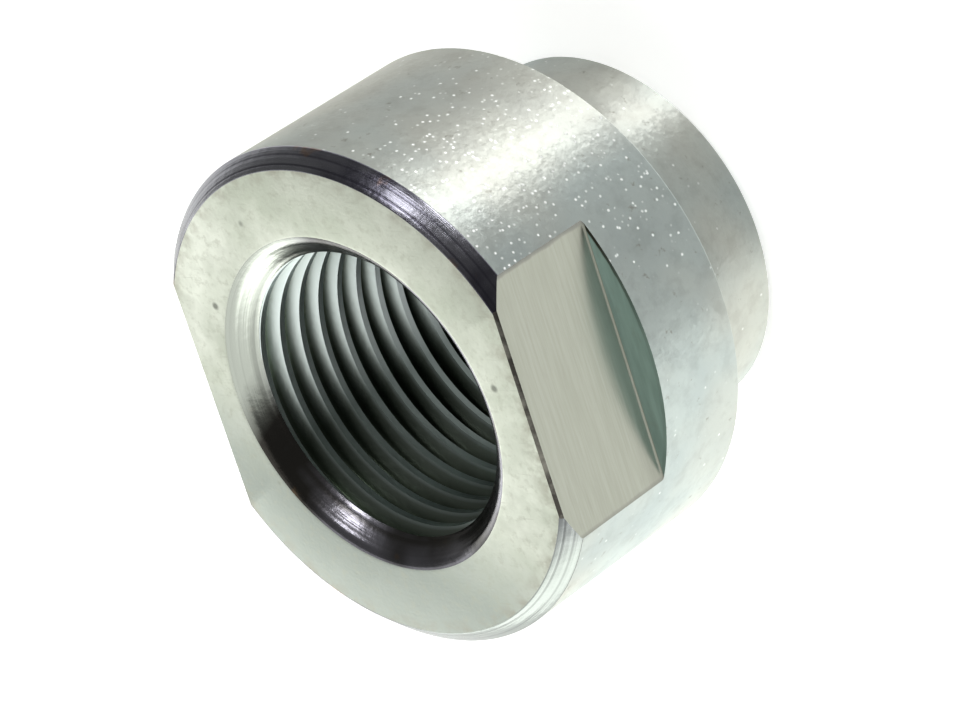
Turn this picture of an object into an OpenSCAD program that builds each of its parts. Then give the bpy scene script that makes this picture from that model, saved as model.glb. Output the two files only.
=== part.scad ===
// Axle nut: a round turned nut with two milled spanner flats, a stepped boss and a fine thread.
// It stands on the end of its boss, with the thread's axis along Z and its front face on top.
// The bore is the thread's minor diameter. All sizes are in millimetres.

/* [Body] */
// Diameter of the round body
body_d = 19; // [17.5:0.5:24]
// Length of the body, from the shoulder above the boss to the front face
body_len = 9; // [7.5:0.5:14]
// Chamfer round the front face
front_chamfer = 0.6; // [0.2:0.1:1]
// Chamfer round the edge at the shoulder
shoulder_chamfer = 0.2; // [0.1:0.05:0.4]

/* [Boss] */
// Diameter of the boss
boss_d = 14; // [13.5:0.5:16.5]
// Length of the boss
boss_len = 5; // [2.5:0.5:8]
// Chamfer round the end of the boss
boss_chamfer = 0.25; // [0.1:0.05:0.4]

/* [Thread] */
// Nominal diameter of the thread
thread_d = 12; // [10:0.5:12.5]
// Pitch of the thread
thread_pitch = 1; // [0.75:0.25:1.5]
// How much wider than the thread both countersinks open, on the diameter
sink_over = 0.5; // [0.2:0.1:0.9]
// Radius that softens the countersink's lip on the front face
lip_r = 0.6; // [0.2:0.1:0.9]

/* [Spanner flats] */
// Distance across the two flats
flats_across = 16; // [14.5:0.5:17.5]
// Length of the flats, from the front face to their step
flats_len = 4.9; // [3:0.1:6.5]
// How far the pair of flats was milled off the axis
flats_shift = 0.15; // [0:0.05:0.3]
// Nose radius of the milling cutter, left at the foot of the step
cutter_nose_r = 0.15; // [0.1:0.05:0.4]

/* [Hidden] */
$fn = 96;

// Depth of a metric thread as a share of its pitch
thread_depth_share = 0.5413;
// Steps in the rounded lip
lip_steps = 6;
// What a cutter runs past the surface that it opens
cutter_over = 1;

body_r = body_d / 2;
boss_r = boss_d / 2;
front_z = boss_len + body_len;
bore_r = thread_d / 2 - thread_depth_share * thread_pitch;
sink_r = (thread_d + sink_over) / 2;
sink_depth = sink_r - bore_r;
flats_z = front_z - flats_len;
// From the sharp edge of a 90 degree countersink to where its rounded lip starts
lip_reach = lip_r * tan(45 / 2);

// Points on an arc round [x, z], from one angle to another
function arc(x, z, r, from, to, steps) =
    [for (i = [0 : steps]) let (a = from + (to - from) * i / steps) [x + r * cos(a), z + r * sin(a)]];

// Half of the nut's section, as it is turned on a lathe
module turned_section() {
    polygon(concat(
        [
            [bore_r, sink_depth],
            [sink_r, 0],
            [boss_r - boss_chamfer, 0],
            [boss_r, boss_chamfer],
            [boss_r, boss_len],
            [body_r - shoulder_chamfer, boss_len],
            [body_r, boss_len + shoulder_chamfer],
            [body_r, front_z - front_chamfer],
            [body_r - front_chamfer, front_z],
        ],
        arc(sink_r + lip_reach, front_z - lip_r, lip_r, 90, 135, lip_steps),
        [[bore_r, front_z - sink_depth]]
    ));
}

// Section of the milled space outside one flat, with the cutter's nose radius at the foot of its step
module flat_cut_section(distance) {
    difference() {
        translate([distance, flats_z])
            square([body_r - distance + cutter_over, flats_len + cutter_over]);
        translate([distance, flats_z])
            difference() {
                square(cutter_nose_r);
                translate([cutter_nose_r, cutter_nose_r]) circle(cutter_nose_r);
            }
    }
}

// One milled pass along Y, at a distance from the axis
module flat_cut(distance) {
    rotate([90, 0, 0])
        linear_extrude(body_d + 2 * cutter_over, center = true)
            flat_cut_section(distance);
}

module axle_nut() {
    color([0.74, 0.75, 0.72])
        difference() {
            rotate_extrude() turned_section();
            flat_cut(flats_across / 2 + flats_shift);
            mirror([1, 0, 0]) flat_cut(flats_across / 2 - flats_shift);
        }
}

axle_nut();
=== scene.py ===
import math

import bmesh
import bpy
from mathutils import Matrix, Vector


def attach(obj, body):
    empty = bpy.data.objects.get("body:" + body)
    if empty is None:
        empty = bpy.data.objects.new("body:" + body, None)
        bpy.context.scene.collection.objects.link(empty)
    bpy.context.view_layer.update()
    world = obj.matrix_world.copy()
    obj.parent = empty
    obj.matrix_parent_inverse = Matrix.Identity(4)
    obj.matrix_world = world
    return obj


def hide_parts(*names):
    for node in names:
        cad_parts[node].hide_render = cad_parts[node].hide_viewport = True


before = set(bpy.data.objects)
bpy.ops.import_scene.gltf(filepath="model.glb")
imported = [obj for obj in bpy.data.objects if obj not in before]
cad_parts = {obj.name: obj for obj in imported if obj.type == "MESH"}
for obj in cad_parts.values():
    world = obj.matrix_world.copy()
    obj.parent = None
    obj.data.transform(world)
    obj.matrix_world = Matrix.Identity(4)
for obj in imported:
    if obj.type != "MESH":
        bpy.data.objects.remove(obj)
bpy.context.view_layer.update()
bpy.context.scene.view_settings.view_transform = "Standard"

MM = 0.001

# Sizes of the nut in millimetres, as the solid has them
BODY_R = 9.5
BOSS_R = 7.0
BOSS_LEN = 5.0
FRONT_Z = 14.0
FRONT_CHAMFER = 0.6
SHOULDER_CHAMFER = 0.2
BOSS_CHAMFER = 0.25
SINK_R = 6.25
LIP_R = 0.6
THREAD_R = 6.0
THREAD_PITCH = 1.0
THREAD_MINOR_R = 5.4587
NEAR_FLAT = 8.15
FAR_FLAT = 7.85
FLATS_Z = 9.1
CUTTER_NOSE_R = 0.15
# Bore of the turned blank, before the tap opens it
DRILL_R = 5.2
# Softening of the turned edges, and bevel between the flats and the front face
TURNED_EDGE = 0.035
MILLED_EDGE = 0.11
TURN_STEPS = 180
# Part of the floor's white that does not depend on the lamps
FLOOR_GLOW = 0.42


def ring_edges(bm, radius, height):
    """Edges of the turned circle at this radius and height, in millimetres."""
    found = []
    for edge in bm.edges:
        if all(
            abs(math.hypot(v.co.x, v.co.y) - radius * MM) < 2e-6 and abs(v.co.z - height * MM) < 2e-6
            for v in edge.verts
        ):
            found.append(edge)
    return found


def soften(bm, edges, width, steps):
    bmesh.ops.bevel(
        bm,
        geom=edges,
        offset=width * MM,
        offset_type="OFFSET",
        affect="EDGES",
        segments=steps,
        profile=0.5,
        material=-1,
        clamp_overlap=True,
    )


def turn_blank(bm):
    """Spins the nut's section round the axis and softens its edges."""
    section = [
        (DRILL_R, SINK_R - DRILL_R),
        (SINK_R, 0),
        (BOSS_R - BOSS_CHAMFER, 0),
        (BOSS_R, BOSS_CHAMFER),
        (BOSS_R, BOSS_LEN),
        (BODY_R - SHOULDER_CHAMFER, BOSS_LEN),
        (BODY_R, BOSS_LEN + SHOULDER_CHAMFER),
        (BODY_R, FRONT_Z - FRONT_CHAMFER),
        (BODY_R - FRONT_CHAMFER, FRONT_Z),
        (SINK_R, FRONT_Z),
        (DRILL_R, FRONT_Z - SINK_R + DRILL_R),
    ]
    points = [bm.verts.new((r * MM, 0, z * MM)) for r, z in section]
    outline = [bm.edges.new((a, b)) for a, b in zip(points, points[1:] + points[:1])]
    bmesh.ops.spin(
        bm,
        geom=points + outline,
        axis=(0, 0, 1),
        cent=(0, 0, 0),
        angle=2 * math.pi,
        steps=TURN_STEPS,
        use_merge=True,
    )
    bmesh.ops.remove_doubles(bm, verts=bm.verts, dist=1e-7)
    bmesh.ops.recalc_face_normals(bm, faces=bm.faces)
    lip_reach = LIP_R * math.tan(math.radians(22.5))
    soften(bm, ring_edges(bm, SINK_R, FRONT_Z), lip_reach, 8)
    for radius, height in section[1:4] + section[5:9]:
        soften(bm, ring_edges(bm, radius, height), TURNED_EDGE, 2)


def mill_flat(bm, side, distance):
    """Takes away the metal outside one flat and closes the flat and the step below it."""
    bmesh.ops.bisect_plane(
        bm,
        geom=bm.verts[:] + bm.edges[:] + bm.faces[:],
        dist=1e-8,
        plane_co=(0, 0, FLATS_Z * MM),
        plane_no=(0, 0, 1),
    )
    upper_faces = [f for f in bm.faces if f.calc_center_median().z > FLATS_Z * MM]
    upper_edges = {e for f in upper_faces for e in f.edges}
    upper_verts = {v for f in upper_faces for v in f.verts}
    bmesh.ops.bisect_plane(
        bm,
        geom=list(upper_verts) + list(upper_edges) + upper_faces,
        dist=1e-8,
        plane_co=(side * distance * MM, 0, 0),
        plane_no=(side, 0, 0),
    )
    waste = []
    for face in bm.faces:
        centre = face.calc_center_median()
        if centre.z > FLATS_Z * MM and side * centre.x > distance * MM:
            waste.append(face)
    bmesh.ops.delete(bm, geom=waste, context="FACES")
    open_edges = [e for e in bm.edges if len(e.link_faces) == 1]
    on_flat = [e for e in open_edges if all(abs(v.co.x - side * distance * MM) < 1e-7 for v in e.verts)]
    on_step = [e for e in open_edges if all(abs(v.co.z - FLATS_Z * MM) < 1e-7 for v in e.verts)]
    feet = {v for e in on_flat for v in e.verts} & {v for e in on_step for v in e.verts}
    foot = bm.edges.new(tuple(feet))
    bmesh.ops.contextual_create(bm, geom=on_flat + [foot])
    bmesh.ops.contextual_create(bm, geom=on_step + [foot])
    bmesh.ops.recalc_face_normals(bm, faces=bm.faces)
    soften(bm, [foot], CUTTER_NOSE_R, 4)
    break_front_edge(bm, side, distance)


def break_front_edge(bm, side, distance):
    """Takes a narrow bevel off the edge between one flat and the front face."""
    bmesh.ops.bisect_plane(
        bm,
        geom=bm.verts[:] + bm.edges[:] + bm.faces[:],
        dist=1e-8,
        plane_co=(side * (distance - MILLED_EDGE) * MM, 0, FRONT_Z * MM),
        plane_no=(side, 0, 1),
        clear_outer=True,
    )
    open_edges = [e for e in bm.edges if len(e.link_faces) == 1]
    bmesh.ops.contextual_create(bm, geom=open_edges)
    bmesh.ops.recalc_face_normals(bm, faces=bm.faces)


def make_tap(bm):
    """Cutting form of the thread: a core at the minor radius with a helical ridge."""
    crest = THREAD_PITCH * 0.25
    flank = THREAD_PITCH * 0.3125
    tooth = [
        (THREAD_MINOR_R, 0),
        (THREAD_MINOR_R, crest),
        (THREAD_R - 0.05, crest + flank - 0.03),
        (THREAD_R, crest + flank + 0.02),
        (THREAD_R, THREAD_PITCH - flank - 0.02),
        (THREAD_R - 0.05, THREAD_PITCH - flank + 0.03),
    ]
    turns = 19
    first_z = -2.5
    points = []
    for turn in range(turns):
        for r, z in tooth:
            points.append(bm.verts.new((r * MM, 0, (first_z + turn * THREAD_PITCH + z) * MM)))
    outline = [bm.edges.new((a, b)) for a, b in zip(points, points[1:])]
    steps = 120
    bmesh.ops.spin(
        bm,
        geom=points + outline,
        axis=(0, 0, 1),
        cent=(0, 0, 0),
        dvec=(0, 0, THREAD_PITCH * MM / steps),
        angle=2 * math.pi,
        steps=steps,
    )
    bmesh.ops.remove_doubles(bm, verts=bm.verts, dist=1e-7)
    sink_foot = FRONT_Z - SINK_R + THREAD_MINOR_R
    for height, way in ((-0.6, -1), (sink_foot + 0.02, 1)):
        bmesh.ops.bisect_plane(
            bm,
            geom=bm.verts[:] + bm.edges[:] + bm.faces[:],
            dist=1e-8,
            plane_co=(0, 0, height * MM),
            plane_no=(0, 0, way),
            clear_outer=True,
        )
    open_edges = [e for e in bm.edges if len(e.link_faces) == 1]
    bmesh.ops.holes_fill(bm, edges=open_edges, sides=0)
    bmesh.ops.recalc_face_normals(bm, faces=bm.faces)


def mesh_object(name, make):
    bm = bmesh.new()
    make(bm)
    mesh = bpy.data.meshes.new(name)
    bm.to_mesh(mesh)
    bm.free()
    piece = bpy.data.objects.new(name, mesh)
    bpy.context.collection.objects.link(piece)
    return piece


def make_blank(bm):
    turn_blank(bm)
    mill_flat(bm, 1, NEAR_FLAT)
    mill_flat(bm, -1, FAR_FLAT)


def tapped_nut():
    """The milled blank with the thread cut through it."""
    nut = mesh_object("zinc_nut", make_blank)
    tap = mesh_object("thread_tap", make_tap)
    cut = nut.modifiers.new("thread", "BOOLEAN")
    cut.operation = "DIFFERENCE"
    cut.solver = "MANIFOLD"
    cut.object = tap
    ready = nut.evaluated_get(bpy.context.evaluated_depsgraph_get())
    cut_mesh = bpy.data.meshes.new_from_object(ready)
    nut.modifiers.clear()
    nut.data = cut_mesh
    bpy.data.objects.remove(tap)
    return nut


nut = tapped_nut()

# Material slots, one for each worked surface
FRONT, CHAMFER, TURNED, MILLED, SINK, THREAD, EDGE, STEP = range(8)


def surface_of(face):
    """Which worked surface a face of the nut belongs to."""
    centre = face.center
    radius = math.hypot(centre.x, centre.y) / MM
    height = centre.z / MM
    rise = face.normal.z
    if height > FRONT_Z - 0.1 and rise > 0.965 and radius < SINK_R + 0.3:
        return FRONT
    if radius < SINK_R + 0.3 and abs(rise) < 0.995:
        from_end = min(height, FRONT_Z - height)
        on_cone = abs(from_end - (SINK_R - radius)) < 0.04 and abs(abs(rise) - 0.7071) < 0.03
        on_lip = radius > THREAD_R and height > FRONT_Z - 0.4
        if on_cone or on_lip or radius > THREAD_R + 0.02:
            return SINK
        return THREAD
    if height > FRONT_Z - 0.002:
        return FRONT
    if height > FLATS_Z - 0.2:
        cut = min(abs(centre.x / MM - NEAR_FLAT), abs(centre.x / MM + FAR_FLAT))
        along = abs(face.normal.x) if cut < 0.2 else 0
        if along > 0.999:
            return MILLED
        if rise > 0.999 and height < FLATS_Z + 0.01:
            return STEP
        if cut < CUTTER_NOSE_R and height < FLATS_Z + CUTTER_NOSE_R and along > 0.02 and rise > 0.02:
            return MILLED
        if cut < MILLED_EDGE and abs(along - rise) < 0.01:
            return EDGE
    if height > FRONT_Z - FRONT_CHAMFER - 0.1 and rise > 0.1 and radius > BODY_R - 1:
        return CHAMFER
    return TURNED


class Finish:
    """One procedural finish, built node by node."""

    def __init__(self, name, colour, roughness, metallic=1.0):
        self.material = bpy.data.materials.new(name)
        self.material.use_nodes = True
        self.nodes = self.material.node_tree.nodes
        self.links = self.material.node_tree.links
        self.shader = self.nodes["Principled BSDF"]
        self.shader.inputs["Base Color"].default_value = (*colour, 1)
        self.shader.inputs["Roughness"].default_value = roughness
        self.shader.inputs["Metallic"].default_value = metallic
        place = self.nodes.new("ShaderNodeTexCoord")
        self.place = place.outputs["Object"]

    def add(self, kind, **inputs):
        node = self.nodes.new("ShaderNode" + kind)
        for key, value in inputs.items():
            socket = node.inputs[key.replace("_", " ")]
            self.put(socket, value)
        return node

    def put(self, socket, value):
        if isinstance(value, bpy.types.NodeSocket):
            self.links.new(value, socket)
        else:
            socket.default_value = value

    def math(self, operation, a, b=0.0):
        node = self.nodes.new("ShaderNodeMath")
        node.operation = operation
        self.put(node.inputs[0], a)
        self.put(node.inputs[1], b)
        return node.outputs[0]

    def stretched(self, scale):
        return self.add("Mapping", Vector=self.place, Scale=scale).outputs[0]

    def noise(self, vector, scale, detail=2.0, rough=0.5):
        node = self.add("TexNoise", Vector=vector, Scale=scale, Detail=detail, Roughness=rough)
        return node.outputs["Fac"]

    def ramp(self, value, stops):
        node = self.nodes.new("ShaderNodeValToRGB")
        self.put(node.inputs[0], value)
        ramp = node.color_ramp
        while len(ramp.elements) < len(stops):
            ramp.elements.new(0.5)
        for element, (position, colour) in zip(ramp.elements, stops):
            element.position = position
            element.color = (*colour, 1)
        return node.outputs[0]

    def blend(self, factor, a, b):
        node = self.nodes.new("ShaderNodeMix")
        node.data_type = "RGBA"
        self.put(node.inputs[0], factor)
        for socket, value in ((node.inputs[6], a), (node.inputs[7], b)):
            self.put(socket, value if isinstance(value, bpy.types.NodeSocket) else (*value, 1))
        return node.outputs[2]

    def radius(self):
        flat = self.stretched((1, 1, 0))
        node = self.nodes.new("ShaderNodeVectorMath")
        node.operation = "LENGTH"
        self.put(node.inputs[0], flat)
        return node.outputs["Value"]

    def along(self, way):
        node = self.nodes.new("ShaderNodeVectorMath")
        node.operation = "DOT_PRODUCT"
        self.put(node.inputs[0], self.place)
        node.inputs[1].default_value = way
        return node.outputs["Value"]

    def bump(self, height, strength, distance, normal=None):
        node = self.add("Bump", Height=height, Strength=strength, Distance=distance)
        if normal is not None:
            self.put(node.inputs["Normal"], normal)
        return node.outputs[0]


def front_finish():
    """Pale flat zinc with specks and pits, painted shade low down and on the +x +y side, and a patchy
    painted edge shade at the rim.
    """
    f = Finish("front_face_zinc", (0.6, 0.63, 0.58), 0.42)
    cloud = f.noise(f.place, 330, 4, 0.6)
    base = f.ramp(cloud, [(0.34, (0.44, 0.47, 0.395)), (0.64, (0.625, 0.645, 0.575))])
    mottle = f.noise(f.place, 1100, 3, 0.6)
    base = f.blend(f.ramp(mottle, [(0.38, (0.3, 0.3, 0.3)), (0.55, (0, 0, 0))]), base, (0.4, 0.42, 0.36))
    # Painted shade: the front face turns darker towards its -x -y side.
    low = f.math("ADD", f.along((-42, -91, 0)), f.math("MULTIPLY", f.math("ADD", cloud, mottle), 0.2))
    base = f.blend(f.ramp(low, [(0.43, (0, 0, 0)), (0.76, (0.85, 0.85, 0.85))]), base, (0.295, 0.325, 0.3))
    # Painted shade: the front face turns darker towards its +x +y side.
    high = f.math("ADD", f.along((60, 80, 0)), f.math("MULTIPLY", cloud, 0.35))
    base = f.blend(f.ramp(high, [(0.6, (0, 0, 0)), (0.95, (0.55, 0.55, 0.55))]), base, (0.42, 0.44, 0.38))
    speck = f.noise(f.place, 3200, 3, 0.65)
    base = f.blend(f.ramp(speck, [(0.3, (0.5, 0.5, 0.5)), (0.48, (0, 0, 0))]), base, (0.36, 0.37, 0.31))
    turned = f.add("Mapping", Vector=f.place, Rotation=(0, 0, 0.9), Scale=(500, 9000, 1)).outputs[0]
    scratch = f.ramp(f.noise(turned, 1.0, 2), [(0.66, (0, 0, 0)), (0.72, (0.35, 0.35, 0.35))])
    base = f.blend(scratch, base, (0.33, 0.34, 0.29))
    cells = f.add("TexVoronoi", Vector=f.place, Scale=700.0)
    pick = f.math("GREATER_THAN", f.add("SeparateColor", Color=cells.outputs["Color"]).outputs[0], 0.72)
    pit = f.ramp(cells.outputs["Distance"], [(0.06, (1, 1, 1)), (0.13, (0, 0, 0))])
    base = f.blend(f.math("MULTIPLY", pick, pit), base, (0.2, 0.21, 0.18))
    # Painted edge shade: a patchy dark band along the outer rim and beside the near flat, in place of the
    # edges' dark reflection.
    edge_shade_mask = f.ramp(f.math("MULTIPLY", f.radius(), 100.0), [(0.83, (0, 0, 0)), (0.888, (1, 1, 1))])
    beside_flat = f.ramp(f.along((100, 0, 0)), [(0.72, (0, 0, 0)), (0.8, (1, 1, 1))])
    edge_shade_mask = f.math("MAXIMUM", edge_shade_mask, beside_flat)
    painted_edge_shade = f.ramp(f.noise(f.place, 1500, 3, 0.6), [(0.42, (0, 0, 0)), (0.62, (0.75, 0.75, 0.75))])
    base = f.blend(f.math("MULTIPLY", edge_shade_mask, painted_edge_shade), base, (0.3, 0.29, 0.24))
    f.put(f.shader.inputs["Base Color"], base)
    rings = f.noise(f.add("CombineXYZ", X=f.math("MULTIPLY", f.radius(), 9000.0)).outputs[0], 1.0, 2)
    grain = f.noise(f.place, 7000, 2)
    normal = f.bump(rings, 0.15, 0.00002)
    normal = f.bump(grain, 0.35, 0.00002, normal)
    f.put(f.shader.inputs["Normal"], normal)
    return f.material


def bright_turned_finish(name, light, dark, spot, lines_per_m, pale, pale_side_way, pale_side_from):
    """Bright cone with turned rings and dark stains, its colours kept dark as a painted dark reflection,
    and a painted light paler side towards the given way.
    """
    f = Finish(name, light, 0.23)
    radius = f.radius()
    lines = f.noise(f.add("CombineXYZ", X=f.math("MULTIPLY", radius, lines_per_m)).outputs[0], 1.0, 3)
    tint = f.noise(f.place, 260, 3)
    base = f.blend(f.ramp(tint, [(0.4, (0, 0, 0)), (0.6, (1, 1, 1))]), light, dark)
    base = f.blend(f.ramp(lines, [(0.38, (0.7, 0.7, 0.7)), (0.5, (0, 0, 0))]), base, dark)
    stain = f.noise(f.place, 520, 3)
    base = f.blend(f.ramp(stain, [(0.62, (0, 0, 0)), (0.7, (0.8, 0.8, 0.8))]), base, spot)
    lined = f.ramp(lines, [(0.4, [0.72 * c for c in pale]), (0.5, pale)])
    # Painted light: the side towards the given way is blended to a paler lined colour.
    painted_light_side = f.ramp(f.along(pale_side_way), [(pale_side_from, (0, 0, 0)), (pale_side_from + 0.14, (1, 1, 1))])
    base = f.blend(painted_light_side, base, lined)
    f.put(f.shader.inputs["Base Color"], base)
    grain = f.noise(f.place, 2600, 3)
    normal = f.bump(lines, 0.6, 0.00004)
    normal = f.bump(grain, 0.3, 0.00004, normal)
    f.put(f.shader.inputs["Normal"], normal)
    return f.material


def turned_finish():
    """Satin skin of the body and boss, with small glints painted as highlights, specks, and a painted light
    patch on one side.
    """
    f = Finish("satin_turned_zinc", (0.55, 0.55, 0.525), 0.56)
    f.shader.inputs["Anisotropic"].default_value = 0.95
    f.shader.inputs["Anisotropic Rotation"].default_value = 0.25
    tangent = f.nodes.new("ShaderNodeTangent")
    tangent.direction_type = "RADIAL"
    tangent.axis = "Z"
    f.put(f.shader.inputs["Tangent"], tangent.outputs[0])
    cells = f.add("TexVoronoi", Vector=f.place, Scale=6400.0)
    share = f.add("SeparateColor", Color=cells.outputs["Color"]).outputs[0]
    # Painted highlight: more glint cells on the side facing the strip lamp.
    lit = f.ramp(f.along((68, 73, 0)), [(0.74, (0, 0, 0)), (0.93, (0.17, 0.17, 0.17))])
    pick = f.ramp(f.math("ADD", share, lit), [(0.975, (0, 0, 0)), (1.0, (1, 1, 1))])
    dot = f.ramp(cells.outputs["Distance"], [(0.1, (1, 1, 1)), (0.46, (0, 0, 0))])
    glint = f.math("MULTIPLY", pick, dot)
    lean = f.nodes.new("ShaderNodeVectorMath")
    lean.operation = "SUBTRACT"
    f.put(lean.inputs[0], cells.outputs["Color"])
    lean.inputs[1].default_value = (0.5, 0.5, 0.5)
    tilt = f.nodes.new("ShaderNodeVectorMath")
    tilt.operation = "SCALE"
    f.put(tilt.inputs[0], lean.outputs[0])
    f.put(tilt.inputs["Scale"], f.math("ADD", f.math("MULTIPLY", glint, 0.3), 0.05))
    faceted = f.nodes.new("ShaderNodeVectorMath")
    faceted.operation = "ADD"
    f.put(faceted.inputs[0], f.nodes.new("ShaderNodeNewGeometry").outputs["Normal"])
    f.put(faceted.inputs[1], tilt.outputs[0])
    unit = f.nodes.new("ShaderNodeVectorMath")
    unit.operation = "NORMALIZE"
    f.put(unit.inputs[0], faceted.outputs[0])
    cloud = f.noise(f.place, 380, 3)
    base = f.ramp(cloud, [(0.35, (0.505, 0.54, 0.515)), (0.65, (0.585, 0.62, 0.58))])
    mottle = f.noise(f.place, 1300, 4, 0.65)
    base = f.blend(f.ramp(mottle, [(0.36, (0.45, 0.45, 0.45)), (0.52, (0, 0, 0))]), base, (0.4, 0.42, 0.39))
    tarnish = f.noise(f.place, 160, 2)
    tint = f.ramp(tarnish, [(0.38, (0.5, 0.6, 0.62)), (0.5, (0.6, 0.62, 0.58)), (0.62, (0.64, 0.6, 0.52))])
    base = f.blend(0.3, base, tint)
    # Painted light: a paler cream patch on the body's -x +y side.
    far_painted_light = f.ramp(f.along((-62, 78, 0)), [(0.7, (0, 0, 0)), (0.95, (0.8, 0.8, 0.8))])
    base = f.blend(far_painted_light, base, (0.76, 0.76, 0.68))
    speck = f.ramp(f.noise(f.place, 2400, 3, 0.6), [(0.66, (0, 0, 0)), (0.74, (0.6, 0.6, 0.6))])
    base = f.blend(speck, base, (0.3, 0.29, 0.25))
    # Painted highlight: glint cells get a near-white colour, besides their tilt and smoother finish.
    f.put(f.shader.inputs["Base Color"], f.blend(glint, base, (0.95, 0.96, 0.95)))
    f.put(f.shader.inputs["Roughness"], f.math("SUBTRACT", 0.56, f.math("MULTIPLY", glint, 0.3)))
    rings = f.noise(f.stretched((60, 60, 12000)), 1.0, 3)
    grain = f.noise(f.place, 5000, 2)
    normal = f.bump(rings, 0.15, 0.00002, unit.outputs[0])
    normal = f.bump(grain, 0.5, 0.00002, normal)
    f.put(f.shader.inputs["Normal"], normal)
    return f.material


def milled_finish(name, light, dark, edge_shade_r, painted_edge_shade, edge_shade_fade, foot_shade):
    """Fine cutter lines, with painted shade at the foot and a painted dark edge line beyond the given rim
    radius.
    """
    f = Finish(name, light, 0.28)
    lines = f.noise(f.stretched((3000, 420, 11000)), 1.0, 3, 0.6)
    strokes = f.noise(f.stretched((2000, 1300, 7000)), 1.0, 2)
    base = f.blend(f.ramp(lines, [(0.38, (0, 0, 0)), (0.66, (1, 1, 1))]), dark, light)
    base = f.blend(f.ramp(strokes, [(0.6, (0, 0, 0)), (0.75, (0.2, 0.2, 0.2))]), base, (0.3, 0.3, 0.26))
    shade = f.ramp(f.along((0, 0, 100)), [(0.915, (foot_shade,) * 3), (1.06, (0, 0, 0))])
    base = f.blend(shade, base, (0.2, 0.2, 0.17))
    # Painted edge shade: a dark line near the rim stands in for the edge's reflection, and it is weaker
    # towards -y.
    out = f.math("MULTIPLY", f.radius(), 100.0)
    patch = f.noise(f.place, 1800, 3, 0.6)
    edge = f.math("ADD", out, f.math("MULTIPLY", patch, 0.008))
    edge_shade_mask = f.ramp(edge, [(edge_shade_r + 0.002, (0, 0, 0)), (edge_shade_r + 0.005, (1, 1, 1))])
    fade = f.ramp(f.along((0, 100, 0)), [(0.0, edge_shade_fade), (0.4, (1, 1, 1))])
    base = f.blend(f.math("MULTIPLY", edge_shade_mask, fade), base, painted_edge_shade)
    f.put(f.shader.inputs["Base Color"], base)
    normal = f.bump(lines, 0.22, 0.00002)
    f.put(f.shader.inputs["Normal"], normal)
    return f.material


def thread_finish():
    """Pale crests and darker roots, with painted light making one side paler."""
    f = Finish("cut_thread_zinc", (0.42, 0.44, 0.38), 0.32)
    depth = f.math("MULTIPLY", f.radius(), 100.0)
    plain_side_stops = [(0.548, (0.28, 0.325, 0.31)), (0.558, (0.15, 0.175, 0.15)), (0.59, (0.08, 0.1, 0.075))]
    painted_light_stops = [(0.548, (0.85, 0.93, 0.92)), (0.57, (0.6, 0.67, 0.64)), (0.59, (0.16, 0.19, 0.15))]
    base = f.ramp(depth, plain_side_stops)
    pale = f.ramp(depth, painted_light_stops)
    # Painted light: the side towards -x +y gets the paler ramp.
    painted_light_side = f.ramp(f.along((-90, 45, 0)), [(0.36, (0, 0, 0)), (0.56, (1, 1, 1))])
    f.put(f.shader.inputs["Base Color"], f.blend(painted_light_side, base, pale))
    grain = f.noise(f.place, 4000, 2)
    f.put(f.shader.inputs["Normal"], f.bump(grain, 0.2, 0.00003))
    return f.material


def edge_finish():
    """Bevel between a flat and the front face, painted dark in patches as painted shade."""
    f = Finish("shaded_milled_edge", (0.2, 0.19, 0.17), 0.4)
    patch = f.noise(f.place, 800, 4, 0.65)
    # Painted shade: the bevel's colour is kept dark in place of its dark reflection.
    base = f.ramp(patch, [(0.45, (0.06, 0.055, 0.05)), (0.7, (0.24, 0.23, 0.2))])
    f.put(f.shader.inputs["Base Color"], base)
    f.put(f.shader.inputs["Normal"], f.bump(patch, 0.3, 0.00003))
    return f.material


# Painted shade: the chamfer's colours are kept dark to paint the dark reflection it shows.
chamfer_finish = bright_turned_finish(
    "chamfer_bright_zinc",
    light=(0.22, 0.22, 0.245),
    dark=(0.045, 0.043, 0.06),
    spot=(0.3, 0.16, 0.06),
    lines_per_m=8000.0,
    pale=(0.31, 0.335, 0.315),
    pale_side_way=(30, -60, 0),
    pale_side_from=0.42,
)
# Painted shade: the countersink's colours are kept dark to paint the dark reflection it shows.
countersink_finish = bright_turned_finish(
    "countersink_bright_zinc",
    light=(0.19, 0.185, 0.21),
    dark=(0.045, 0.042, 0.038),
    spot=(0.16, 0.1, 0.05),
    lines_per_m=5200.0,
    pale=(0.45, 0.475, 0.43),
    pale_side_way=(-80, 62, 0),
    pale_side_from=0.37,
)
flat_finish = milled_finish(
    "milled_flat_zinc",
    light=(0.38, 0.39, 0.335),
    dark=(0.345, 0.355, 0.3),
    edge_shade_r=0.945,
    painted_edge_shade=(0.22, 0.22, 0.2),
    edge_shade_fade=(0.6, 0.6, 0.6),
    foot_shade=0.45,
)
step_finish = milled_finish(
    "milled_step_zinc",
    light=(0.46, 0.63, 0.62),
    dark=(0.38, 0.53, 0.52),
    edge_shade_r=0.935,
    painted_edge_shade=(0.06, 0.06, 0.05),
    edge_shade_fade=(0.15, 0.15, 0.15),
    foot_shade=0.0,
)

nut.data.materials.clear()
for material in (
    front_finish(),
    chamfer_finish,
    turned_finish(),
    flat_finish,
    countersink_finish,
    thread_finish(),
    edge_finish(),
    step_finish,
):
    nut.data.materials.append(material)
for face in nut.data.polygons:
    face.material_index = surface_of(face)
    face.use_smooth = True
nut.data.set_sharp_from_angle(angle=math.radians(28))
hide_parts("axle_nut")
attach(nut, "root")


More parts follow.
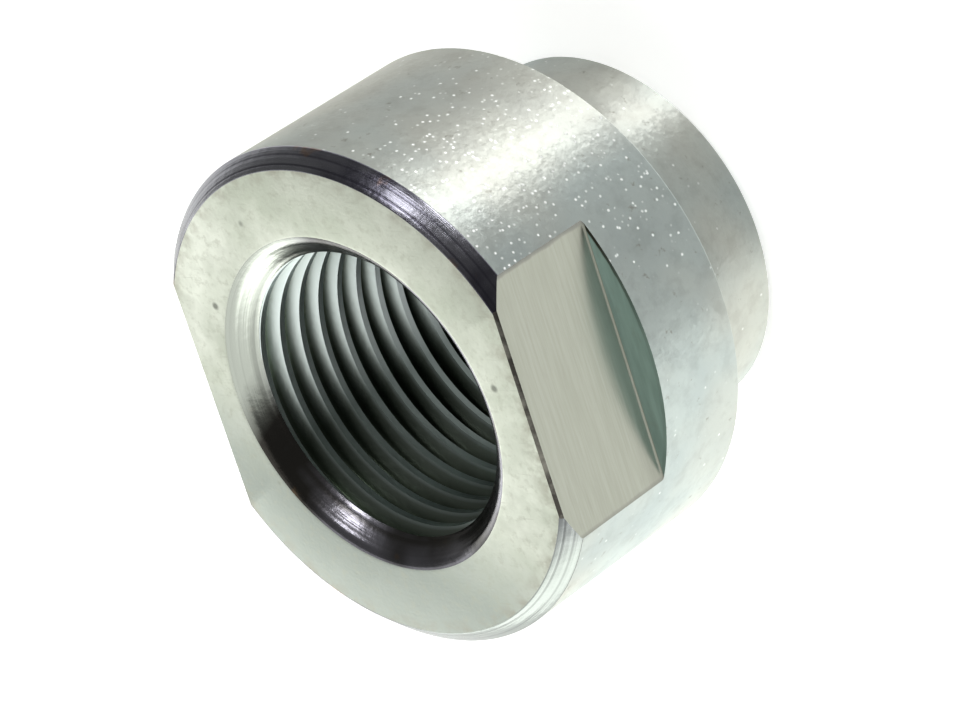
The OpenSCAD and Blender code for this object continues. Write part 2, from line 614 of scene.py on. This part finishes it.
def lay_floor():
    """White paper that keeps the nut's shadow."""
    bm = bmesh.new()
    bmesh.ops.create_grid(bm, x_segments=1, y_segments=1, size=2.0)
    mesh = bpy.data.meshes.new("pale_floor")
    bm.to_mesh(mesh)
    bm.free()
    floor = bpy.data.objects.new("pale_floor", mesh)
    bpy.context.collection.objects.link(floor)
    f = Finish("pale_floor_paper", (0.93, 0.93, 0.93), 0.9, 0.0)
    path = f.nodes.new("ShaderNodeLightPath").outputs
    seen = f.math("MAXIMUM", path["Is Camera Ray"], path["Is Glossy Ray"])
    seen = f.math("MAXIMUM", seen, path["Is Transmission Ray"])
    f.shader.inputs["Emission Color"].default_value = (1, 1, 1, 1)
    f.put(f.shader.inputs["Emission Strength"], f.math("MULTIPLY", seen, FLOOR_GLOW))
    mesh.materials.append(f.material)


def place_camera():
    """Camera fitted to the photo's outlines."""
    camera = bpy.data.cameras.new("photo_camera")
    camera.sensor_width = 36
    camera.lens = 169.3
    camera.shift_x = 0.0021
    camera.shift_y = -0.0029
    camera.clip_start = 0.005
    stand = bpy.data.objects.new("photo_camera", camera)
    right = Vector((0.6974, -0.2948, -0.6533))
    up = Vector((-0.0375, 0.8952, -0.444))
    back = Vector((0.7157, 0.3342, 0.6132))
    turn = Matrix((right, up, back)).transposed().to_4x4()
    turn.translation = Vector((0.11341, 0.05198, 0.10546))
    stand.matrix_world = turn
    bpy.context.collection.objects.link(stand)
    bpy.context.scene.camera = stand


def hang_lamp(name, way, distance, size, radiance):
    """A rectangular soft lamp that looks at the nut from one direction."""
    lamp = bpy.data.lights.new(name, "AREA")
    lamp.shape = "RECTANGLE"
    lamp.size = size[0]
    lamp.size_y = size[1]
    lamp.energy = math.pi * radiance * size[0] * size[1]
    stand = bpy.data.objects.new(name, lamp)
    way = Vector(way).normalized()
    stand.location = Vector((0, 0, 0.008)) + way * distance
    stand.rotation_euler = way.to_track_quat("Z", "Y").to_euler()
    bpy.context.collection.objects.link(stand)


def light_room():
    """A room with a bright side and a dark one, and two lamps."""
    world = bpy.data.worlds.new("studio")
    bpy.context.scene.world = world
    world.use_nodes = True
    nodes = world.node_tree.nodes
    links = world.node_tree.links
    background = nodes["Background"]
    background.inputs["Color"].default_value = (0.985, 1, 0.97, 1)
    way = nodes.new("ShaderNodeTexCoord")
    level = nodes.new("ShaderNodeMapping")
    links.new(way.outputs["Generated"], level.inputs["Vector"])
    level.inputs["Scale"].default_value = (1, 1, 0)
    unit = nodes.new("ShaderNodeVectorMath")
    unit.operation = "NORMALIZE"
    links.new(level.outputs[0], unit.inputs[0])
    towards = nodes.new("ShaderNodeVectorMath")
    towards.operation = "DOT_PRODUCT"
    links.new(unit.outputs[0], towards.inputs[0])
    towards.inputs[1].default_value = (-0.225, -0.974, 0)
    side = nodes.new("ShaderNodeMapRange")
    side.interpolation_type = "SMOOTHSTEP"
    links.new(towards.outputs["Value"], side.inputs["Value"])
    side.inputs["From Min"].default_value = 0.12
    side.inputs["From Max"].default_value = 0.26
    rise = nodes.new("ShaderNodeSeparateXYZ")
    links.new(way.outputs["Generated"], rise.inputs[0])
    wall = nodes.new("ShaderNodeMapRange")
    wall.interpolation_type = "SMOOTHSTEP"
    links.new(rise.outputs["Z"], wall.inputs["Value"])
    wall.inputs["From Min"].default_value = 0.25
    wall.inputs["From Max"].default_value = 0.6
    wall.inputs["To Min"].default_value = 2.7
    wall.inputs["To Max"].default_value = 0.95
    white = nodes.new("ShaderNodeMath")
    white.operation = "MULTIPLY"
    links.new(side.outputs[0], white.inputs[0])
    links.new(wall.outputs[0], white.inputs[1])
    low = nodes.new("ShaderNodeMapRange")
    low.interpolation_type = "SMOOTHSTEP"
    links.new(rise.outputs["Z"], low.inputs["Value"])
    low.inputs["From Min"].default_value = 0.02
    low.inputs["From Max"].default_value = 0.3
    low.inputs["To Min"].default_value = 0.5
    low.inputs["To Max"].default_value = 0.2
    strength = nodes.new("ShaderNodeMath")
    strength.operation = "ADD"
    links.new(white.outputs[0], strength.inputs[0])
    links.new(low.outputs[0], strength.inputs[1])
    links.new(strength.outputs[0], background.inputs["Strength"])
    hang_lamp("tall_strip", (0.341, 0.907, 0.26), 0.35, (0.055, 0.2), 14.0)
    hang_lamp("small_lamp", (-0.0083, 0.753, 0.658), 0.3, (0.06, 0.06), 14.0)


lay_floor()
place_camera()
light_room()
